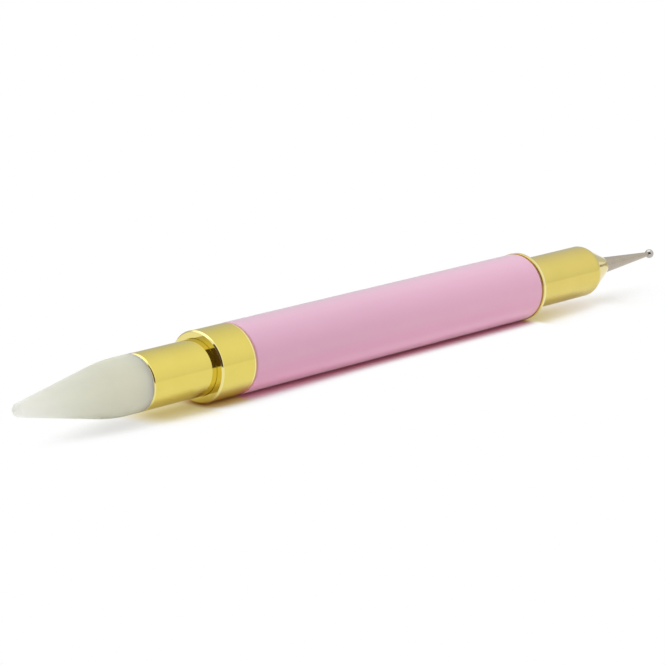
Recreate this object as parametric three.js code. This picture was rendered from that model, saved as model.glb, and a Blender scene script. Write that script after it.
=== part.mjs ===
// Dual-ended nail tool: a wax pick-up tip at one end, a ball stylus for dotting at the other.
// A pink tube is the handle. At each of its ends a gold-plated head screws into it.
// The tool lies on its side on a table. +X runs from the wax tip to the ball and +Z is up.
// The origin is on the table, below the middle of the tool's length. Sizes are in millimetres.

import * as THREE from 'three';

// Handle
const barrelRadius = 5.25;
const tubeLength = 65.2;
const tubeWall = 0.5;
const tubeEdgeChamfer = 0.08;

// Gold caps that close the handle: the wide collar at the wax end, the thin ring at the stylus end
const collarLength = 6.7;
const ringLength = 0.8;
const capRimChamfer = 0.2;
const capSeamWidth = 0.3;
const capSeamDepth = 0.15;
const capSpigotLength = 9;
const capSpigotWall = 0.65;
const ferruleSeatDepth = 0.1;

// Screw joint of each head: an M5 stem with a pitch of 0.8 in a brass socket
const stemRadius = 2.45;
const threadPitch = 0.8;
const threadTurns = 8;
const stemTipChamfer = 0.4;
const socketRunout = 2;
const socketMouthChamfer = 0.3;
const socketGrooveDepth = 0.3;
const socketGrooveWidth = 0.8;
const sealSectionRadius = 0.45;

// Ferrules: gold-plated tubes with a lip at the back that holds the stud. How far each one and its lip
// reach is measured from the face of the cap.
const ferruleRadius = 4.1;
const ferruleWall = 0.5;
const ferruleLip = 1;
const ferruleEdgeRound = 0.15;
const waxFerruleReach = 12.45;
const stylusFerruleStraight = 15.8;
const coneLength = 5.83;
const coneShoulderRadius = 1.9;
const noseRadius = 1.45;
const noseBoreLength = 2.4;

// Studs in the ferrules: a disc behind the lip, then a barbed pin or a bored boss
const studDiscThickness = 1.5;
const barbCount = 3;
const barbPitch = 1.5;
const barbRootRadius = 1.1;
const barbCrestRadius = 1.6;
const bossRadius = 2.4;
const bossLength = 7.5;
const bossFloor = 1;

// Wax tip: a short cylinder, a shoulder, a long cone and a blunt round nose
const waxReach = 22.1;
const waxRootRadius = 4.15;
const waxRootLength = 2.97;
const waxHalfAngle = THREE.MathUtils.degToRad(11.05);
const waxNoseRadius = 1;

// Stylus: a needle that tapers to the neck of its ball
const shankReach = 13.29;
const shankRootRadius = 1.3;
const shankNeckRadius = 0.34;
const ballRadius = 0.75;

// Fits: radial room of a pressed fit, of a loose one (the seal in its recess, a ferrule in its seat)
// and of the stem in its socket, and the gap between two faces that seat on each other
const pressFit = 0.05;
const looseFit = 0.1;
const threadFit = 0.15;
const seatGap = 0.02;

// Faces round the axis: the outside has a flat below the axis, on which the tool lies
const outerSides = 32;
const innerSides = 24;

// Sizes that follow from the ones above
const tubeBore = barrelRadius - tubeWall;
const spigotRadius = tubeBore - pressFit;
const spigotBore = spigotRadius - capSpigotWall;
const socketRadius = spigotBore - pressFit;
const socketBore = stemRadius + threadFit;
const threadLength = threadPitch * threadTurns;
const sealRingRadius = stemRadius + pressFit + sealSectionRadius;
const sealRecessRadius = sealRingRadius + sealSectionRadius + looseFit;
const capFrontWall = ferruleSeatDepth + 2 * sealSectionRadius;
const ferruleSeatRadius = ferruleRadius + looseFit;
const ferruleBack = seatGap - ferruleSeatDepth;
const ferruleBore = ferruleRadius - ferruleWall;
const ferruleBackHole = stemRadius + threadFit;
const studDiscRadius = ferruleBore - pressFit;
const studDiscBack = ferruleLip + seatGap;
const studDiscFront = studDiscBack + studDiscThickness;
const shankBore = shankRootRadius + pressFit;
const noseHeight = stylusFerruleStraight + coneLength;

// Places along the axis, measured from the wax tip's nose
const collarFace = waxReach + waxFerruleReach;
const tubeStart = collarFace + collarLength;
const ringFace = tubeStart + tubeLength + ringLength;
const ballCentre = ringFace + noseHeight + shankReach;
const overallLength = ballCentre + ballRadius;

function finish(color, roughness, metalness) {
  return new THREE.MeshStandardMaterial({ color, roughness, metalness });
}

const goldPlate = () => finish(0xe0c463, 0.12, 1);
const bareBrass = () => finish(0xb99a55, 0.35, 1);
const polishedSteel = () => finish(0xb4aca0, 0.2, 1);
const sealRubber = () => finish(0x1d1d1f, 0.8, 0);

// The points of a profile drawn as a path of (radius, height): no two are in the same place,
// and what should be on the axis is exactly on it
function profilePoints(path, arcSteps = 3) {
  const smallest = 1e-6;
  const points = path.getPoints(arcSteps).map((point) => {
    return new THREE.Vector2(point.x < smallest ? 0 : point.x, point.y);
  });
  return points.filter((point, i) => i === 0 || point.distanceTo(points[i - 1]) > smallest);
}

// A solid turned round the Y axis, with the middle of one of its sides facing straight down
function turned(name, points, sides, material) {
  const geometry = new THREE.LatheGeometry(points, sides, Math.PI / sides);
  const mesh = new THREE.Mesh(geometry, material);
  mesh.name = name;
  return mesh;
}

// A turned ring or tube: its profile runs round the section and ends where it starts
function turnedRing(name, path, sides, material, arcSteps) {
  path.closePath();
  return turned(name, profilePoints(path, arcSteps), sides, material);
}

// Pink lacquered tube, its two edges broken by a small chamfer
function barrelTube() {
  const low = seatGap;
  const high = tubeLength - seatGap;
  const section = new THREE.Path();
  section.moveTo(tubeBore, low);
  section.lineTo(barrelRadius - tubeEdgeChamfer, low);
  section.lineTo(barrelRadius, low + tubeEdgeChamfer);
  section.lineTo(barrelRadius, high - tubeEdgeChamfer);
  section.lineTo(barrelRadius - tubeEdgeChamfer, high);
  section.lineTo(tubeBore, high);
  return turnedRing('barrel_tube', section, outerSides, finish(0xd9acc1, 0.35, 0));
}

// Plastic tube inside the handle, which keeps the spigots of the two caps apart
function barrelLiner() {
  const low = capSpigotLength + seatGap;
  const high = tubeLength - capSpigotLength - seatGap;
  const section = new THREE.Path();
  section.moveTo(spigotBore, low);
  section.lineTo(spigotRadius, low);
  section.lineTo(spigotRadius, high);
  section.lineTo(spigotBore, high);
  return turnedRing('barrel_liner', section, outerSides, finish(0xe8e6df, 0.6, 0));
}

// Gold cap of the handle. Its face is at height 0 and its head and spigot reach down from there.
// The shallow seat in the face centres the ferrule, the hole in the seat takes the seal, and the bore
// below it takes the socket. A groove round the back of the head sets it off from the pink tube.
function endCap(name, headLength) {
  const spigotEnd = -headLength - capSpigotLength;
  const section = new THREE.Path();
  section.moveTo(ferruleSeatRadius, 0);
  section.lineTo(ferruleSeatRadius, -ferruleSeatDepth);
  section.lineTo(sealRecessRadius, -ferruleSeatDepth);
  section.lineTo(sealRecessRadius, -capFrontWall);
  section.lineTo(spigotBore, -capFrontWall);
  section.lineTo(spigotBore, spigotEnd);
  section.lineTo(spigotRadius, spigotEnd);
  section.lineTo(spigotRadius, -headLength);
  section.lineTo(barrelRadius - capSeamDepth, -headLength);
  section.lineTo(barrelRadius - capSeamDepth, capSeamWidth - headLength);
  section.lineTo(barrelRadius, capSeamWidth - headLength);
  section.lineTo(barrelRadius, -capRimChamfer);
  section.lineTo(barrelRadius - capRimChamfer, 0);
  return turnedRing(name, section, outerSides, goldPlate());
}

// Threaded brass socket, pressed into a cap from behind, with two grooves for the glue
function socket(name) {
  const top = -capFrontWall - seatGap;
  const bottom = top - threadLength - socketRunout;
  const grooveStep = (top - bottom) / 3;
  const section = new THREE.Path();
  section.moveTo(socketBore + socketMouthChamfer, top);
  section.lineTo(socketBore, top - socketMouthChamfer);
  section.lineTo(socketBore, bottom);
  section.lineTo(socketRadius, bottom);
  for (const middle of [bottom + grooveStep, top - grooveStep]) {
    section.lineTo(socketRadius, middle - socketGrooveWidth / 2);
    section.lineTo(socketRadius - socketGrooveDepth, middle - socketGrooveWidth / 2);
    section.lineTo(socketRadius - socketGrooveDepth, middle + socketGrooveWidth / 2);
    section.lineTo(socketRadius, middle + socketGrooveWidth / 2);
  }
  section.lineTo(socketRadius, top);
  return turnedRing(name, section, innerSides, bareBrass());
}

// Rubber O-ring on the stem, between the ferrule's back and the end of the socket
function seal(name) {
  const section = new THREE.Path();
  const middle = sealSectionRadius - capFrontWall;
  section.absarc(sealRingRadius, middle, sealSectionRadius, 0, 2 * Math.PI, false);
  return turnedRing(name, section, innerSides, sealRubber(), 5);
}

// The lower end of a stud, from the axis up: the screw's stem, then the disc behind the lip
function studPath() {
  const stemEnd = -capFrontWall - threadLength;
  const profile = new THREE.Path();
  profile.moveTo(0, stemEnd);
  profile.lineTo(stemRadius - stemTipChamfer, stemEnd);
  profile.lineTo(stemRadius, stemEnd + stemTipChamfer);
  profile.lineTo(stemRadius, studDiscBack);
  profile.lineTo(studDiscRadius, studDiscBack);
  profile.lineTo(studDiscRadius, studDiscFront);
  return profile;
}

// Corners of the barbed pin, from the disc to the pin's flat end. The wax has the same ones,
// moved outwards by the room of the fit.
function barbCorners(room) {
  const corners = [];
  for (let i = 0; i < barbCount; i += 1) {
    const foot = studDiscFront + i * barbPitch;
    corners.push(new THREE.Vector2(barbRootRadius + room, foot));
    corners.push(new THREE.Vector2(barbRootRadius + room, foot + barbPitch / 2 - room));
    corners.push(new THREE.Vector2(barbCrestRadius + room, foot + barbPitch / 2 - room));
  }
  const end = studDiscFront + barbCount * barbPitch + room;
  corners.push(new THREE.Vector2(barbRootRadius + room, end));
  corners.push(new THREE.Vector2(0, end));
  return corners;
}

// Stud of the wax head: stem, disc and the barbed pin on which the wax is moulded
function waxScrew() {
  const profile = studPath();
  for (const corner of barbCorners(0)) {
    profile.lineTo(corner.x, corner.y);
  }
  return turned('wax_screw', profilePoints(profile), innerSides, bareBrass());
}

// Stud of the stylus head: stem, disc and a boss bored for the tang of the needle
function stylusScrew() {
  const bossEnd = studDiscFront + bossLength;
  const profile = studPath();
  profile.lineTo(bossRadius, studDiscFront);
  profile.lineTo(bossRadius, bossEnd);
  profile.lineTo(shankBore, bossEnd);
  profile.lineTo(shankBore, studDiscFront + bossFloor);
  profile.lineTo(0, studDiscFront + bossFloor);
  return turned('stylus_screw', profilePoints(profile), innerSides, bareBrass());
}

// Gold tube of the wax head: a lip at the back, and a mouth with rounded edges
function waxFerrule() {
  const mouth = waxFerruleReach;
  const edge = ferruleEdgeRound;
  const section = new THREE.Path();
  section.moveTo(ferruleBackHole, ferruleBack);
  section.lineTo(ferruleRadius, ferruleBack);
  section.absarc(ferruleRadius - edge, mouth - edge, edge, 0, Math.PI / 2, false);
  section.lineTo(ferruleBore, mouth);
  section.lineTo(ferruleBore, ferruleLip);
  section.lineTo(ferruleBackHole, ferruleLip);
  return turnedRing('wax_ferrule', section, outerSides, goldPlate(), 2);
}

// Wax pick-up tip. Its tang fills the ferrule round the barbed pin. Outside the mouth it is a short
// cylinder, then a shoulder whose radius lets it run smoothly into the cone, and a ball-shaped nose.
function waxTip() {
  const mouth = waxFerruleReach;
  const tangRadius = ferruleBore - pressFit;
  const tangBack = studDiscFront + seatGap;
  const noseCentre = mouth + waxReach - waxNoseRadius;
  const shoulderStart = mouth + waxRootLength;
  const coneSine = Math.sin(waxHalfAngle);
  const coneCosine = Math.cos(waxHalfAngle);
  const shoulderRise = (noseCentre - shoulderStart) * coneSine + waxNoseRadius - waxRootRadius * coneCosine;
  const shoulderRadius = shoulderRise / (1 - coneCosine);
  const profile = new THREE.Path();
  const holeCorners = barbCorners(pressFit).reverse();
  profile.moveTo(holeCorners[0].x, holeCorners[0].y);
  for (const corner of holeCorners.slice(1)) {
    profile.lineTo(corner.x, Math.max(corner.y, tangBack));
  }
  profile.lineTo(tangRadius, tangBack);
  profile.lineTo(tangRadius, mouth + seatGap);
  profile.lineTo(waxRootRadius, mouth + seatGap);
  profile.absarc(waxRootRadius - shoulderRadius, shoulderStart, shoulderRadius, 0, waxHalfAngle, false);
  profile.absarc(0, noseCentre, waxNoseRadius, waxHalfAngle, Math.PI / 2, false);
  return turned('wax_tip', profilePoints(profile), outerSides, finish(0xd4d3c4, 0.45, 0));
}

// Gold tube of the stylus head, closed by a cone that leaves a hole for the needle.
// A rounded shoulder joins the straight part and the cone.
function stylusFerrule() {
  const slope = Math.atan2(ferruleRadius - noseRadius, coneLength);
  const shoulderSetback = coneShoulderRadius * Math.tan(slope / 2);
  const innerConeStart = stylusFerruleStraight - ferruleWall * Math.tan(slope / 2);
  const section = new THREE.Path();
  section.moveTo(ferruleBackHole, ferruleBack);
  section.lineTo(ferruleRadius, ferruleBack);
  section.absarc(
    ferruleRadius - coneShoulderRadius,
    stylusFerruleStraight - shoulderSetback,
    coneShoulderRadius, 0, slope, false
  );
  section.lineTo(noseRadius, noseHeight);
  section.lineTo(shankBore, noseHeight);
  section.lineTo(shankBore, noseHeight - noseBoreLength);
  section.lineTo(ferruleBore, innerConeStart);
  section.lineTo(ferruleBore, ferruleLip);
  section.lineTo(ferruleBackHole, ferruleLip);
  return turnedRing('stylus_ferrule', section, outerSides, goldPlate(), 2);
}

// Height of the joint between the needle and its ball, where the ball is as wide as the neck
function neckHeight() {
  const reach = Math.sqrt(ballRadius ** 2 - shankNeckRadius ** 2);
  return noseHeight + shankReach - reach;
}

// Steel needle: a straight tang in the boss and the nose, then a taper to the neck of the ball
function stylusShank() {
  const tangBack = studDiscFront + bossFloor + seatGap;
  const profile = new THREE.Path();
  profile.moveTo(0, tangBack);
  profile.lineTo(shankRootRadius, tangBack);
  profile.lineTo(shankRootRadius, noseHeight);
  profile.lineTo(shankNeckRadius, neckHeight() - seatGap);
  profile.lineTo(0, neckHeight() - seatGap);
  return turned('stylus_shank', profilePoints(profile), outerSides, polishedSteel());
}

// Steel ball, ground flat where it is brazed to the neck
function stylusBall() {
  const centre = noseHeight + shankReach;
  const neckAngle = Math.atan2(neckHeight() - centre, shankNeckRadius);
  const profile = new THREE.Path();
  profile.moveTo(0, neckHeight());
  profile.lineTo(shankNeckRadius, neckHeight());
  profile.absarc(0, centre, ballRadius, neckAngle, Math.PI / 2, false);
  return turned('stylus_ball', profilePoints(profile, 6), innerSides, polishedSteel());
}

// The handle, along its own axis from the end of the collar
const handle = new THREE.Group();
handle.position.y = tubeStart;
handle.add(barrelTube(), barrelLiner());

// Each end is built outwards from the face of its cap, with its head screwed home
const waxEnd = new THREE.Group();
waxEnd.position.y = collarFace;
waxEnd.rotation.z = Math.PI;
waxEnd.add(
  endCap('wax_collar', collarLength),
  socket('wax_socket'),
  seal('wax_seal'),
  waxScrew(),
  waxFerrule(),
  waxTip()
);

const stylusEnd = new THREE.Group();
stylusEnd.position.y = ringFace;
stylusEnd.add(
  endCap('end_ring', ringLength),
  socket('stylus_socket'),
  seal('stylus_seal'),
  stylusScrew(),
  stylusFerrule(),
  stylusShank(),
  stylusBall()
);

// The tool's axis is turned onto X, and one flat of the handle lies on the table
const tool = new THREE.Group();
tool.add(handle, waxEnd, stylusEnd);
tool.rotation.z = -Math.PI / 2;
tool.position.set(-overallLength / 2, 0, barrelRadius * Math.cos(Math.PI / outerSides));

const model = new THREE.Group();
model.add(tool);

export default model;
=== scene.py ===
# A dual-ended nail tool, lying on a white table in soft light: a pink barrel between two gold-plated
# heads, with a wax pick-up tip at one end and a ball stylus at the other. Places along the tool are read
# from the frame. Sizes are in millimetres and are scaled to metres when a piece is finished.

import math

import bmesh
import bpy
from mathutils import Matrix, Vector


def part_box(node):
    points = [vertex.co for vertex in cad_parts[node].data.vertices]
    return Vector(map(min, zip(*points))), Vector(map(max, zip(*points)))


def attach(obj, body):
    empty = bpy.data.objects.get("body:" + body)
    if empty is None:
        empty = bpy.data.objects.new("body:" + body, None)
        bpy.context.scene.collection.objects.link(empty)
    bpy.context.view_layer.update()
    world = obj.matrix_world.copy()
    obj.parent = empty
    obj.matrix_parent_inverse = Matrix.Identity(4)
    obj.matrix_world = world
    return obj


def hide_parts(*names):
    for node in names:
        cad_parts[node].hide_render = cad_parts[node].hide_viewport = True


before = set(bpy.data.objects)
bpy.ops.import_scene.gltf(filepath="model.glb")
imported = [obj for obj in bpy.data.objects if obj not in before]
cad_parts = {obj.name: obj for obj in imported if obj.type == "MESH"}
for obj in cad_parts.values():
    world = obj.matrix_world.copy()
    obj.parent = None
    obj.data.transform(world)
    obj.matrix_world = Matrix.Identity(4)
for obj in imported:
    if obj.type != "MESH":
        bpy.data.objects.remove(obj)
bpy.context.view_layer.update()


# Barrel tube
# A drawn aluminium tube that the hand holds, cut to length, its ends rolled over, sprayed with a satin
# pink lacquer and stoved. It is pushed over the spigots of the two gold caps and glued. Its colour holds
# painted light: a painted sheen makes it paler on top, painted bounce light makes it a stronger pink
# below, and a painted highlight lies on its rolled far end.

MM = 0.001
barrel_radius = 5.3
tube_wall = 0.5
tube_end_round = 0.24
axis_height = (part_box("barrel_tube")[0].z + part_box("barrel_tube")[1].z) / 2 / MM


def ends(node):
    """Where a CAD node starts and ends along the tool, in millimetres."""
    low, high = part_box(node)
    return low.x / MM, high.x / MM


def turn(bm, kept, sides):
    """Turns the edges that aren't among the kept ones once round the axis of the tool, and closes the
    seam and the poles."""
    verts = [vert for vert in bm.verts if vert not in kept]
    edges = list({edge for vert in verts for edge in vert.link_edges})
    bmesh.ops.spin(bm, geom=verts + edges, cent=(0, 0, axis_height), axis=(1, 0, 0), dvec=(0, 0, 0),
                   angle=math.tau, steps=sides, use_merge=True, use_duplicate=False)
    bmesh.ops.remove_doubles(bm, verts=[vert for vert in bm.verts if vert not in kept], dist=1e-4)


def with_supports(corners, closed):
    """The corners, and a point close to each rounding on the straight lines beside it. They keep the
    shading of a rounding out of the flats and the cylinders."""
    support = 0.03
    points = []
    for here, there in zip(corners, corners[1:] + corners[:1] if closed else corners[1:]):
        points.append(here)
        length = math.dist(here[:2], there[:2])
        stops = [corner[2] + support for corner in (here, there) if len(corner) > 2]
        if sum(stops) + support < length:
            if len(here) > 2:
                part = (here[2] + support) / length
                points.append(tuple(a + (b - a) * part for a, b in zip(here[:2], there[:2])))
            if len(there) > 2:
                part = 1 - (there[2] + support) / length
                points.append(tuple(a + (b - a) * part for a, b in zip(here[:2], there[:2])))
    return points if closed else points + corners[-1:]


def turned(bm, corners, sides, closed=False):
    """Draws a line above the axis and turns it. A corner is its place along the tool and its radius,
    and where it is rounded also the size of the rounding and its number of steps."""
    kept = set(bm.verts)
    corners = with_supports(corners, closed)
    line = [bm.verts.new((corner[0], 0, axis_height + corner[1])) for corner in corners]
    for first, second in zip(line, line[1:]):
        bm.edges.new((first, second))
    if closed:
        bm.edges.new((line[-1], line[0]))
    for vert, corner in zip(line, corners):
        if len(corner) > 2:
            bmesh.ops.bevel(bm, geom=[vert], offset=corner[2], segments=corner[3], profile=0.5,
                            affect="VERTICES", material=-1)
    turn(bm, kept, sides)


def finish_piece(bm, name, node, body, material):
    """Turns the mesh into an object in metres that stands for its CAD node and moves with its body."""
    bmesh.ops.recalc_face_normals(bm, faces=bm.faces)
    bmesh.ops.scale(bm, vec=(MM, MM, MM), verts=bm.verts)
    mesh = bpy.data.meshes.new(name)
    bm.to_mesh(mesh)
    bm.free()
    mesh.shade_smooth()
    mesh.set_sharp_from_angle(angle=math.radians(32))
    mesh.materials.append(material)
    piece = bpy.data.objects.new(name, mesh)
    bpy.context.scene.collection.objects.link(piece)
    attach(piece, body)
    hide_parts(node)


class Signal:
    """The value of a socket in a shader. Arithmetic on it adds Math nodes, and node() adds any other."""

    def __init__(self, tree, socket=None):
        self.tree = tree
        self.socket = socket

    def node(self, kind, settings=None, inputs=None, output=0):
        made = self.tree.nodes.new("ShaderNode" + kind)
        for name, setting in (settings or {}).items():
            setattr(made, name, setting)
        for name, value in (inputs or {}).items():
            if isinstance(value, Signal):
                self.tree.links.new(value.socket, made.inputs[name])
            else:
                made.inputs[name].default_value = value
        return Signal(self.tree, made.outputs[output])

    def maths(self, operation, *values):
        return self.node("Math", {"operation": operation}, dict(enumerate(values)))

    def __add__(self, other):
        return self.maths("ADD", self, other)

    def __sub__(self, other):
        return self.maths("SUBTRACT", self, other)

    def __rsub__(self, other):
        return self.maths("SUBTRACT", other, self)

    def __mul__(self, other):
        return self.maths("MULTIPLY", self, other)

    __radd__ = __add__
    __rmul__ = __mul__


def paint(red, green, blue):
    """A colour as it shows on a screen, from 0 to 255, as the shader wants it."""
    linear = [((part / 255 + 0.055) / 1.055) ** 2.4 for part in (red, green, blue)]
    return (*linear, 1.0)


def mixed(factor, first, second):
    """A colour between two others."""
    return factor.node("Mix", {"data_type": "RGBA"}, {"Factor": factor, 6: first, 7: second}, 2)


def between(value, low, high):
    """Where a value lies between two others, from 0 at the low one to 1 at the high one."""
    return value.node("MapRange", {"interpolation_type": "SMOOTHSTEP"},
                      {"Value": value, "From Min": low, "From Max": high})


def cloud(place, scale, detail):
    """Soft random blotches, about 1000 / scale millimetres across."""
    return place.node("TexNoise", {}, {"Vector": place, "Scale": scale, "Detail": detail})


def along_tool(place):
    """How far along the tool a point lies, in metres."""
    return place.node("SeparateXYZ", {}, {"Vector": place})


def across(place):
    """Where a point lies across the tool, from its axis, in metres."""
    return place.node("VectorMath", {"operation": "MULTIPLY_ADD"},
                      {0: place, 1: (0, 1, 1), 2: (0, 0, -axis_height * MM)})


def facing(direction, side):
    """How far a direction points to a side, from 1 straight at it to -1 straight away."""
    return direction.node("VectorMath", {"operation": "DOT_PRODUCT"}, {0: direction, 1: side}, "Value")


def outwards(place):
    """The direction from the axis of the tool to a point."""
    return place.node("VectorMath", {"operation": "NORMALIZE"}, {0: across(place)})


def surface_of(name, **constants):
    """A new material, its surface shader, and the place of each point on the piece."""
    material = bpy.data.materials.new(name)
    material.use_nodes = True
    tree = material.node_tree
    shader = tree.nodes["Principled BSDF"]
    for socket, value in constants.items():
        shader.inputs[socket.replace("_", " ")].default_value = value
    place = Signal(tree).node("TexCoord", output="Object")
    return material, shader, place


def plug(shader, socket, signal):
    """Links a signal to a socket of the surface shader."""
    signal.tree.links.new(signal.socket, shader.inputs[socket])


def bumps(shader, height, strength, depth):
    """Raises the surface where a signal is high, by a depth in metres."""
    raised = height.node("Bump", {}, {"Strength": strength, "Distance": depth, "Height": height})
    plug(shader, "Normal", raised)


upper_side = (0, 0.34, 0.94)
tube_start, tube_end = ends("barrel_tube")


def lacquer():
    material, shader, place = surface_of(
        "pink_lacquer", IOR=1.5, Coat_Weight=1.0, Coat_Roughness=0.25, Coat_IOR=1.5, Sheen_Weight=0.8,
        Sheen_Roughness=0.4, Sheen_Tint=(1.0, 0.93, 1.0, 1.0))
    along = along_tool(place)
    length = between(along, tube_start * MM, tube_end * MM)
    shade = mixed(length, paint(216, 154, 183), paint(228, 161, 191))
    shade = mixed(cloud(place, 90, 4.0) * 0.6, shade, paint(228, 166, 195))
    upper = facing(outwards(place), upper_side)
    # Painted sheen: the upper side of the lacquer is painted paler.
    shade = mixed(between(upper, -0.5, 0.6) * 0.13, shade, paint(255, 215, 250))
    # Painted bounce light: lower down the lacquer is painted a stronger pink, and along the bottom a
    # brighter one.
    lower = 0 - upper
    shade = mixed(between(lower, 0.3, 0.7) * 0.3, shade, paint(228, 117, 171))
    shade = mixed(between(lower, 0.68, 0.92) * 0.8, shade, paint(252, 169, 207))
    # Painted highlight: the rolled far end of the tube is painted paler.
    far_end_highlight = between(along, (tube_end - 0.5) * MM, tube_end * MM)
    shade = mixed(far_end_highlight * 0.6, shade, paint(238, 200, 214))
    plug(shader, "Base Color", shade)
    plug(shader, "Roughness", 0.36 + 0.1 * cloud(place, 260, 5.0))
    bumps(shader, cloud(place, 1400, 2.0), 0.25, 0.00002)
    return material


bm = bmesh.new()
turned(bm, [
    (tube_start, barrel_radius - tube_wall),
    (tube_start, barrel_radius, tube_end_round, 5),
    (tube_end, barrel_radius, tube_end_round, 5),
    (tube_end, barrel_radius - tube_wall),
], closed=True, sides=192)
finish_piece(bm, "barrel", "barrel_tube", "handle", lacquer())


# Barrel liner
# A plain extruded plastic tube inside the barrel. It keeps the spigots of the two caps apart.
# It can't be seen in use, and its shape is right as it is.

def liner_plastic():
    material, shader, place = surface_of("liner_plastic", IOR=1.46)
    streaks = cloud(place.node("Mapping", {}, {"Vector": place, "Scale": (0.05, 1, 1)}), 1500, 4.0)
    plug(shader, "Base Color", mixed(streaks, paint(226, 223, 214), paint(238, 236, 229)))
    plug(shader, "Roughness", 0.5 + 0.2 * streaks)
    bumps(shader, streaks, 0.3, 0.00002)
    return material


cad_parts["barrel_liner"].data.materials.clear()
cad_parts["barrel_liner"].data.materials.append(liner_plastic())


# Sockets
# Machined brass bushes with an M5 thread inside, pressed into the caps from behind. Two grooves round
# the outside hold the glue.

thread_pitch = 0.8
socket_ridge = 2.1
socket_groove_radius = 2.52
socket_chamfer = 0.3
socket_radius = 4.0
socket_flats = (0.22, 0.1)
glue_groove_depth = 0.3
glue_groove_width = 0.8


def thread(bm, start, end, ridge, ridge_width, groove, groove_width, sides=48):
    """A right-handed thread between two places, cut off square. The middle of its ridge is at whole
    pitches above the axis, and its ridge and groove are given as a radius and a flat width."""
    turns = math.ceil((end - start) / thread_pitch) + 2
    foot = (math.floor(start / thread_pitch) - 1) * thread_pitch
    line = [bm.verts.new((foot + x, 0, axis_height + radius)) for x, radius in (
        (0, ridge),
        (ridge_width / 2, ridge),
        ((thread_pitch - groove_width) / 2, groove),
        ((thread_pitch + groove_width) / 2, groove),
        (thread_pitch - ridge_width / 2, ridge),
        (thread_pitch, ridge),
    )]
    edges = [bm.edges.new(pair) for pair in zip(line, line[1:])]
    bmesh.ops.spin(bm, geom=line + edges, cent=(0, 0, axis_height), axis=(1, 0, 0),
                   dvec=(thread_pitch / sides, 0, 0), angle=math.tau * turns, steps=sides * turns,
                   use_merge=False, use_duplicate=False)
    bmesh.ops.remove_doubles(bm, verts=bm.verts, dist=1e-4)
    for place, side in ((start, -1), (end, 1)):
        bmesh.ops.bisect_plane(bm, geom=bm.verts[:] + bm.edges[:] + bm.faces[:], dist=1e-6,
                               plane_co=(place, 0, 0), plane_no=(side, 0, 0), clear_outer=True)


def rim(bm, place):
    """The edges of the open end that lies at this place along the tool."""
    return [edge for edge in bm.edges
            if edge.is_boundary and all(abs(vert.co.x - place) < 1e-3 for vert in edge.verts)]


def bridge(bm, place, other):
    """Joins two open ends with a ring of faces."""
    bmesh.ops.bridge_loops(bm, edges=rim(bm, place) + rim(bm, other))


def lathe_lines(along, scale, detail):
    """Fine rings round the axis, such as a lathe leaves."""
    return along.node("TexNoise", {"noise_dimensions": "1D"}, {"W": along, "Scale": scale, "Detail": detail})


def machined_brass():
    material, shader, place = surface_of("bare_brass", Metallic=1.0)
    rings = lathe_lines(along_tool(place), 9000, 2.0)
    stain = cloud(place, 500, 4.0)
    plug(shader, "Base Color", mixed(stain, paint(176, 141, 78), paint(205, 172, 103)))
    plug(shader, "Roughness", 0.24 + 0.16 * rings + 0.1 * stain)
    bumps(shader, rings, 0.4, 0.00001)
    return material


brass = machined_brass()
for end in ("wax", "stylus"):
    start, stop = ends(end + "_socket")
    corners = [(start, socket_groove_radius + socket_chamfer), (start, socket_radius, 0.1, 2)]
    for middle in (start + (stop - start) / 3, stop - (stop - start) / 3):
        left, right = middle - glue_groove_width / 2, middle + glue_groove_width / 2
        corners += [(left, socket_radius), (left, socket_radius - glue_groove_depth),
                    (right, socket_radius - glue_groove_depth), (right, socket_radius)]
    corners += [(stop, socket_radius, 0.1, 2), (stop, socket_groove_radius + socket_chamfer)]
    bm = bmesh.new()
    thread(bm, start + socket_chamfer, stop - socket_chamfer, socket_ridge, socket_flats[0],
           socket_groove_radius, socket_flats[1])
    turned(bm, corners, sides=96)
    bridge(bm, start, start + socket_chamfer)
    bridge(bm, stop, stop - socket_chamfer)
    finish_piece(bm, end + "_bush", end + "_socket", "handle", brass)


# Caps
# The wide collar at the wax end and the thin ring at the stylus end, turned from brass, polished and
# gold plated. Each has a bevelled rim brightened by a painted highlight, a shallow seat for its ferrule,
# a hole for the O-ring, and a groove behind its head that sets it off from the pink, painted brown as old
# lacquer and as painted shade.

cap_bevel = 0.22
cap_wall = 1.0
piece_gap = 0.02
cap_seam = 0.24
seam_depth = 0.08
end_ring_radius = 5.38
collar_lip = 0.33
end_ring_lip = 0.3
wax_ferrule_radius = 4.16
stylus_ferrule_radius = 4.13
seat_clearance = 0.02
seat_depth = 0.1
seal_hole = 3.5
spigot_radius = 4.7
spigot_bore = 4.05


def from_axis(place):
    """How far a point is from the axis of the tool, in metres."""
    return place.node("VectorMath", {"operation": "LENGTH"}, {0: across(place)}, "Value")


def band(value, low, high, soft):
    """1 where a value in metres lies between two others in millimetres, and 0 outside."""
    inside = between(value, (low - soft) * MM, (low + soft) * MM)
    return inside * (1 - between(value, (high - soft) * MM, (high + soft) * MM))


def gold_plate(name, tone, deep, rims):
    """Polished plating. A rim is a stretch along the tool and the radii that it lies between, its own
    colour, how far that covers the plating, and how much duller it is. Most rims are a painted
    highlight on a bevel or an edge; the groove's rim is brown, partly painted shade."""
    material, shader, place = surface_of(name, Metallic=1.0)
    along = along_tool(place)
    lines = lathe_lines(along, 6000, 3.0)
    haze = cloud(place, 220, 4.0)
    shade = mixed(haze, deep, tone)
    rough = 0.05 + 0.04 * haze + 0.02 * lines
    for start, end, inner, outer, colour, cover, dull in rims:
        there = band(along, start, end, 0.03) * band(from_axis(place), inner, outer, 0.03)
        shade = mixed(there * cover, shade, colour)
        rough = rough + there * dull
    plug(shader, "Base Color", shade)
    plug(shader, "Roughness", rough)
    bumps(shader, lines, 0.15, 0.000004)
    return material


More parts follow.
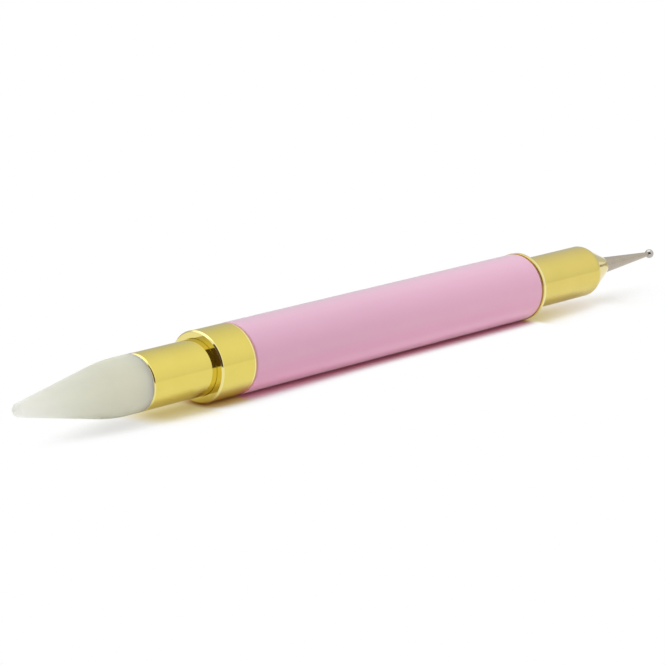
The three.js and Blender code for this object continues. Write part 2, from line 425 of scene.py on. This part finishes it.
collar_face = ends("wax_collar")[0]
ring_face = ends("end_ring")[1]
mouth = ends("wax_ferrule")[0]
cone_nose = ends("stylus_ferrule")[1]
# Painted highlight: a pale cream laid on rims, bevels, the ferrule mouth and the cone's nose.
painted_highlight = paint(255, 249, 205)
# The groove behind each head is painted brown: partly old lacquer and glue, partly painted shade.
old_lacquer_and_shade = paint(206, 158, 130)
wax_end_gold = gold_plate("wax_end_gold", paint(230, 213, 113), paint(222, 203, 99), [
    (mouth - 0.1, mouth + 0.25, 3.7, 5.0, painted_highlight, 0.3, 0),
    (collar_face - collar_lip - 0.02, collar_face - collar_lip + 0.05, 4.3, 5.1, painted_highlight, 0.25, 0),
    (collar_face - collar_lip - 0.1, collar_face - collar_lip + 0.33, 5.1, 5.5, painted_highlight, 0.35, 0),
    (tube_start - cap_seam - 0.3, tube_start - cap_seam - 0.03, 5.25, 5.5, painted_highlight, 0.4, 0),
    (tube_start - cap_seam - 0.03, tube_start, 4.8, 5.25, old_lacquer_and_shade, 0.9, 0.4),
])
stylus_end_gold = gold_plate("stylus_end_gold", paint(226, 207, 116), paint(217, 197, 104), [
    (ring_face - 0.35, ring_face + end_ring_lip + 0.1, 5.1, 5.6, painted_highlight, 0.5, 0),
    (tube_end, tube_end + cap_seam + 0.03, 4.8, 5.26, old_lacquer_and_shade, 0.9, 0.4),
    (cone_nose - 0.6, cone_nose + 0.1, 1.4, 5.0, painted_highlight, 0.5, 0),
])

for name, node, outward, gold, head_radius, lip, ferrule_radius in (
        ("collar", "wax_collar", -1, wax_end_gold, barrel_radius, collar_lip, wax_ferrule_radius),
        ("barrel_end_ring", "end_ring", 1, stylus_end_gold, end_ring_radius, end_ring_lip,
         stylus_ferrule_radius)):
    face, spigot_end = ends(node) if outward < 0 else ends(node)[::-1]
    front = face + outward * lip
    head_back = tube_start - piece_gap if outward < 0 else tube_end + piece_gap
    seat_radius = ferrule_radius + seat_clearance
    bm = bmesh.new()
    turned(bm, [
        (front, seat_radius, 0.03, 2),
        (face - outward * seat_depth, seat_radius),
        (face - outward * seat_depth, seal_hole, 0.05, 2),
        (face - outward * cap_wall, seal_hole),
        (face - outward * cap_wall, spigot_bore),
        (spigot_end, spigot_bore),
        (spigot_end, spigot_radius, 0.2, 3),
        (head_back, spigot_radius),
        (head_back, barrel_radius - seam_depth),
        (head_back + outward * cap_seam, barrel_radius - seam_depth),
        (head_back + outward * cap_seam, head_radius, 0.06, 3),
        (front - outward * cap_bevel, head_radius, 0.05, 2),
        (front, head_radius - cap_bevel, 0.01, 1),
    ], closed=True, sides=192)
    finish_piece(bm, name, node, "handle", gold)


# O-rings
# Moulded black rubber rings on the stems. Squeezed between the ferrule and the socket, they keep the
# heads from working loose.

def black_rubber():
    material, shader, place = surface_of("seal_rubber", IOR=1.5)
    bloom = cloud(place, 1200, 4.0)
    plug(shader, "Base Color", mixed(bloom, paint(24, 24, 26), paint(44, 44, 46)))
    plug(shader, "Roughness", 0.55 + 0.2 * bloom)
    bumps(shader, bloom, 0.3, 0.00002)
    return material


rubber = black_rubber()
ring_radius = 2.95
ring_thickness = 0.45
for end in ("wax", "stylus"):
    start, stop = ends(end + "_seal")
    bm = bmesh.new()
    bmesh.ops.create_circle(bm, segments=20, radius=ring_thickness)
    bmesh.ops.rotate(bm, verts=bm.verts, cent=(0, 0, 0), matrix=Matrix.Rotation(math.pi / 2, 3, "X"))
    bmesh.ops.translate(bm, verts=bm.verts, vec=((start + stop) / 2, 0, axis_height + ring_radius))
    turn(bm, set(), 96)
    finish_piece(bm, end + "_o_ring", end + "_seal", end + "_seal", rubber)


# Studs
# Turned brass. The disc is held behind the lip of the ferrule. The M5 stem on it screws into the
# barrel. In the wax head a barbed pin grips the wax, in the stylus head a bored boss grips the needle.

stem_ridge = 2.45
stem_groove = 1.96
stem_point = 1.7
stem_chamfer = 0.35
stem_flats = (0.1, 0.14)
neck_foot = 0.9
neck_top = 1.0
disc_radius = 3.55
disc_back = 1.02
disc_front = 2.52
barbs = 3
barb_pitch = 1.5
barb_root = 1.1
barb_crest = 1.6
boss_radius = 2.4
boss_bore = 1.35
boss_floor = 1.0

for end, outward in (("wax", -1), ("stylus", 1)):
    face = collar_face if end == "wax" else ring_face
    tip, head = ends(end + "_screw")[::outward]
    top = (head - face) * outward
    if end == "wax":
        pin = []
        for barb in range(barbs):
            foot = disc_front + barb * barb_pitch
            step = foot + barb_pitch / 2
            pin += [(foot, barb_root), (step, barb_root), (step, barb_crest)]
        pin += [(top, barb_root), (top, 0)]
    else:
        bore_end = disc_front + boss_floor
        pin = [(disc_front, boss_radius), (top, boss_radius, 0.15, 2), (top, boss_bore),
               (bore_end, boss_bore), (bore_end, 0)]
    body = [(-neck_foot, stem_ridge), (disc_back, stem_ridge), (disc_back, disc_radius, 0.1, 2),
            (disc_front, disc_radius, 0.1, 2)] + pin
    thread_ends = (tip + outward * stem_chamfer, face - outward * neck_top)
    bm = bmesh.new()
    thread(bm, min(thread_ends), max(thread_ends), stem_ridge, stem_flats[0], stem_groove, stem_flats[1])
    turned(bm, [(face + outward * corner[0], *corner[1:]) for corner in body], sides=96)
    turned(bm, [(tip, stem_point), (tip, 0)], sides=96)
    bridge(bm, thread_ends[1], face - outward * neck_foot)
    bridge(bm, thread_ends[0], tip)
    finish_piece(bm, end + "_stud", end + "_screw", end + "_head", brass)


# Wax ferrule
# A short drawn brass tube, polished and gold plated. Its back is spun inwards into a lip that holds the
# stud, and its mouth is rolled smooth round the wax.

ferrule_wall = 0.5
lip_hole = 2.6
lip_depth = 1.0
mouth_round = 0.36

back = ends("wax_ferrule")[1]
bm = bmesh.new()
turned(bm, [
    (back, lip_hole),
    (back, wax_ferrule_radius, 0.12, 3),
    (mouth, wax_ferrule_radius, mouth_round, 5),
    (mouth, wax_ferrule_radius - ferrule_wall, 0.12, 3),
    (collar_face - lip_depth, wax_ferrule_radius - ferrule_wall),
    (collar_face - lip_depth, lip_hole),
], closed=True, sides=192)
finish_piece(bm, "wax_tube", "wax_ferrule", "wax_head", wax_end_gold)


# Wax tip
# Soft pick-up wax, moulded round the barbed pin: a short cylinder, a smooth shoulder, a long cone and a
# blunt nose. It is greenish white and lets a little light in. Its upper side is painted greyer, a painted
# shade that evens out the light from above. Use has bent its point a little upwards.

wax_root_radius = 4.15
wax_root_length = 2.97
wax_angle = math.radians(11.05)
nose_radius = 1.0
wax_bend = 0.25
tang_radius = 3.55
barb_room = 0.05


def pick_up_wax():
    material, shader, place = surface_of(
        "pick_up_wax", IOR=1.44, Subsurface_Weight=1.0, Subsurface_Radius=(1.0, 0.97, 0.85),
        Subsurface_Scale=0.007, Specular_IOR_Level=0.15)
    along = along_tool(place)
    tip = ends("wax_tip")[0]
    depth = between(along, (tip + 2) * MM, mouth * MM)
    milk = cloud(place, 160, 4.0)
    shade = mixed(depth, paint(221, 223, 214), paint(215, 214, 193))
    shade = mixed(milk * 0.25, shade, paint(218, 219, 208))
    upper = facing(outwards(place), upper_side)
    # Painted shade: the upper side of the wax is painted greyer against the light from above.
    shade = mixed(between(upper, 0.0, 1.0) * 0.3, shade, paint(154, 157, 147))
    plug(shader, "Base Color", shade)
    plug(shader, "Roughness", 0.4 + 0.15 * cloud(place, 500, 4.0))
    bumps(shader, cloud(place, 700, 3.0), 0.25, 0.00005)
    return material


nose = ends("wax_tip")[0]
wax_start = mouth - piece_gap
shoulder_start = mouth - wax_root_length
nose_centre = nose + nose_radius
rise = (shoulder_start - nose_centre) * math.sin(wax_angle) + nose_radius
rise = rise - wax_root_radius * math.cos(wax_angle)
shoulder_radius = rise / (1 - math.cos(wax_angle))
shoulder_set_back = shoulder_radius * math.tan(wax_angle / 2)
nose_set_back = nose_radius * math.tan((math.pi / 2 - wax_angle) / 2)
stud_front = collar_face - disc_front
corners = [(nose, 0), (nose, nose_set_back, nose_set_back * 0.98, 10),
           (shoulder_start - shoulder_set_back, wax_root_radius, shoulder_set_back, 16),
           (wax_start, wax_root_radius, 0.2, 5), (wax_start, tang_radius),
           (stud_front - piece_gap, tang_radius)]
for barb in range(barbs):
    foot = stud_front - barb * barb_pitch
    step = foot - barb_pitch / 2 + barb_room
    corners += [(foot - (piece_gap if barb == 0 else 0), barb_root + barb_room),
                (step, barb_root + barb_room), (step, barb_crest + barb_room)]
    if barb < barbs - 1:
        corners += [(foot - barb_pitch, barb_crest + barb_room)]
pin_end = stud_front - barbs * barb_pitch - barb_room
corners += [(pin_end, barb_crest + barb_room), (pin_end, 0)]
bm = bmesh.new()
turned(bm, corners, sides=192)
for vert in bm.verts:
    out = max(0, (shoulder_start - vert.co.x) / (shoulder_start - nose))
    vert.co.z += wax_bend * out * out
finish_piece(bm, "wax_point", "wax_tip", "wax_head", pick_up_wax())


# Stylus ferrule
# A gold-plated tube like the other one, but spun down at the front into a cone that closes on the
# needle. A soft shoulder joins the tube and the cone.

cone_length = 5.83
cone_nose_radius = 1.45
shoulder_round = 1.9
needle_bore = 1.35
needle_bore_length = 2.4

back = ends("stylus_ferrule")[0]
cone_start = cone_nose - cone_length
slope = math.atan2(stylus_ferrule_radius - cone_nose_radius, cone_length)
inner_start = cone_start - ferrule_wall * math.tan(slope / 2)
bm = bmesh.new()
turned(bm, [
    (back, lip_hole),
    (back, stylus_ferrule_radius, 0.12, 3),
    (cone_start, stylus_ferrule_radius, shoulder_round * math.tan(slope / 2), 10),
    (cone_nose, cone_nose_radius, 0.06, 3),
    (cone_nose, needle_bore),
    (cone_nose - needle_bore_length, needle_bore),
    (inner_start, stylus_ferrule_radius - ferrule_wall),
    (ring_face + lip_depth, stylus_ferrule_radius - ferrule_wall),
    (ring_face + lip_depth, lip_hole),
], closed=True, sides=192)
finish_piece(bm, "stylus_tube", "stylus_ferrule", "stylus_head", stylus_end_gold)


# Needle and ball
# A steel needle, ground to a taper and polished. Its tang sits in the boss of the stud. The ball is a
# bearing ball, brazed to the needle's end.

needle_root = 1.34
needle_neck = 0.37
ball_radius = 0.75


def steel(name, low, high, rough):
    material, shader, place = surface_of(name, Metallic=1.0)
    grind = lathe_lines(along_tool(place), 12000, 2.0)
    tarnish = cloud(place, 700, 3.0)
    plug(shader, "Base Color", mixed(tarnish, low, high))
    plug(shader, "Roughness", rough + 0.08 * grind + 0.05 * tarnish)
    bumps(shader, grind, 0.2, 0.000004)
    return material


tang_back = ends("stylus_shank")[0]
ball_start, ball_end = ends("stylus_ball")
ball_centre = ball_end - ball_radius
bm = bmesh.new()
turned(bm, [
    (tang_back, 0),
    (tang_back, needle_root, 0.1, 2),
    (cone_nose, needle_root),
    (ball_start - piece_gap, needle_neck),
    (ball_start - piece_gap, 0),
], sides=96)
finish_piece(bm, "needle", "stylus_shank", "stylus_head",
             steel("needle_steel", paint(172, 162, 146), paint(188, 178, 162), 0.2))

start_angle = math.asin(needle_neck / ball_radius)
flat = ball_centre - ball_radius * math.cos(start_angle)
bm = bmesh.new()
flat_rim = bm.verts.new((flat, 0, axis_height + needle_neck))
flat_centre = bm.verts.new((flat, 0, axis_height))
bm.edges.new((flat_centre, flat_rim))
bmesh.ops.spin(bm, geom=[flat_rim], cent=(ball_centre, 0, axis_height), axis=(0, 1, 0), dvec=(0, 0, 0),
               angle=math.pi - start_angle, steps=24, use_merge=False, use_duplicate=False)
turn(bm, set(), 96)
finish_piece(bm, "ball", "stylus_ball", "stylus_head",
             steel("ball_steel", paint(176, 173, 167), paint(190, 187, 181), 0.06))


# Table
# A white matt board that the tool lies on. To the camera, and in the gold, it is plain white where the
# tool hides little of the tent from it. Close to the tool it keeps its own shade, with painted bounce
# light that tints it pink and gold, and by the gold heads its white has a painted yellow glow. The raised
# heads shade it more softly than the barrel does.

table_radius = 5.0
table_gap = 0.002
hiding_reach = 0.03


def white_board():
    material, shader, place = surface_of("white_board", Specular_IOR_Level=0.0)
    grain = cloud(place, 300, 3.0)
    light_seen = place.node("AmbientOcclusion", {"samples": 16}, {"Distance": hiding_reach}, "AO")

    # Which part of the tool is above a point.
    along = along_tool(place)
    under_pink = band(along, tube_start, tube_end, 0.5)
    under_gold = between(along, (mouth - 2) * MM, (mouth + 1) * MM)
    under_handle = band(along, collar_face - 1, ring_face + 0.5, 0.7)
    stylus_side = between(along, (ring_face - 2) * MM, (cone_nose - 6) * MM)
    under_needle = between(along, (cone_nose - 6) * MM, (cone_nose + 1) * MM)
    under_tubes = between(along, (mouth - 1) * MM, (mouth + 5) * MM)
    barrel_middle = between(along, -35 * MM, 0.0)

    # The board's own shade, and painted bounce light: its colour is tinted pink and gold under the tool.
    under_gold_tubes = mixed(stylus_side, (0.96, 0.88, 0.55, 1), (0.96, 0.9, 0.75, 1))
    under_gold_all = mixed(under_handle, under_gold_tubes, (0.96, 0.68, 0.32, 1))
    painted_bounce = mixed(under_pink, under_gold_all, (0.9, 0.5, 0.58, 1))
    board = mixed(grain, (0.955, 0.955, 0.955, 1), (0.965, 0.965, 0.965, 1))
    painted_bounce_share = (1 - between(light_seen, 0.1, 0.55 - 0.1 * under_pink)) * under_gold
    plug(shader, "Base Color", mixed(painted_bounce_share, board, painted_bounce))
    plug(shader, "Roughness", 0.9 + 0.1 * grain)

    # How far it is plain white instead: less close to the tool, and not at all for scattered light.
    kinds = ("Is Camera Ray", "Is Glossy Ray", "Is Transmission Ray")
    to_camera, to_gold, through = [place.node("LightPath", output=kind) for kind in kinds]
    least = 0.6 - 0.35 * under_tubes + 0.32 * stylus_side - 0.3 * under_needle
    least = least * to_camera + 0.15 * to_gold
    soft_low = 0.42 + 0.28 * under_needle
    soft_high = 0.68 + 0.32 * under_needle
    soft_edge = least + (1 - least) * between(light_seen, soft_low, soft_high)
    hard_edge = between(light_seen, 0.3 - 0.1 * barrel_middle, 0.64 - 0.16 * barrel_middle)
    plain = under_handle * hard_edge + (1 - under_handle) * soft_edge
    # Painted glow: by the gold heads the plain white is tinted yellow, as if lit by the gold.
    painted_glow = mixed(stylus_side, (1, 0.85, 0.4, 1), (1, 0.93, 0.88, 1))
    near_gold = (1 - between(light_seen, 0.35, 0.7)) * under_tubes
    near_gold = near_gold * (1 - under_handle) * (1 - under_needle)
    looked_at = to_camera.maths("MINIMUM", to_camera + to_gold + through, 1)
    white = painted_glow.node("Emission", {}, {"Color": mixed(near_gold, (1, 1, 1, 1), painted_glow), "Strength": 1.0})
    surface = plain.node("MixShader", {}, {
        0: plain * looked_at, 1: Signal(place.tree, shader.outputs[0]), 2: white})
    place.tree.links.new(surface.socket, place.tree.nodes["Material Output"].inputs["Surface"])
    return material


bm = bmesh.new()
bmesh.ops.create_circle(bm, cap_ends=True, segments=96, radius=table_radius)
bmesh.ops.translate(bm, verts=bm.verts, vec=(0, 0, (axis_height - end_ring_radius - table_gap) * MM))
mesh = bpy.data.meshes.new("table")
bm.to_mesh(mesh)
bm.free()
mesh.materials.append(white_board())
table = bpy.data.objects.new("table", mesh)
bpy.context.scene.collection.objects.link(table)


# Light
# A white tent, brightest overhead and in front, with a wide lamp behind its roof. The opening through
# which the camera looks in is a dark brown. It shows as the dark patch in the corner of the collar and
# as the dot on the ball. To the camera itself the tent is plain white.

opening_side = (-0.720, -0.655, 0.228)
opening_angle = 42
opening_blur = 1
bright_side = (0.0, -0.6, 0.8)
lamp_side = (0.0, 0.342, 0.940)


def light_tent():
    world = bpy.data.worlds.new("tent")
    world.use_nodes = True
    bpy.context.scene.world = world
    tree = world.node_tree
    direction = Signal(tree).node("TexCoord", output="Generated")
    looked_at = direction.node("LightPath", output="Is Camera Ray")
    inside = facing(direction, opening_side)
    rim_outside = math.cos(math.radians(opening_angle + opening_blur))
    rim_inside = math.cos(math.radians(opening_angle - opening_blur))
    opening = between(inside, rim_outside, rim_inside) * (1 - looked_at)
    lamp = between(facing(direction, lamp_side), 0.76, 0.9)
    level = (0.72 + 0.42 * facing(direction, bright_side) + 0.9 * lamp) * (1 - 0.9 * opening)
    level = level * (1 - looked_at) + looked_at
    shade = mixed(opening, (1, 1, 1, 1), (1, 0.7, 0.65, 1))
    background = tree.nodes["Background"]
    tree.links.new(level.socket, background.inputs["Strength"])
    tree.links.new(shade.socket, background.inputs["Color"])


light_tent()


# Camera
# Low at the wax end, looking along the tool, far enough away for the long lens to fill the frame.

camera_place = (-0.312915, -0.27706, 0.10181)
camera_down = 13.195
camera_right = 47.683
focal_length = 154.02

camera_data = bpy.data.cameras.new("camera")
camera_data.sensor_width = 36
camera_data.lens = focal_length
camera_data.clip_start = 0.01
camera_data.clip_end = 20
camera = bpy.data.objects.new("camera", camera_data)
camera.location = camera_place
camera.rotation_euler = (math.radians(90 - camera_down), 0, math.radians(-camera_right))
bpy.context.scene.collection.objects.link(camera)
bpy.context.scene.camera = camera
bpy.context.scene.view_settings.view_transform = "Standard"
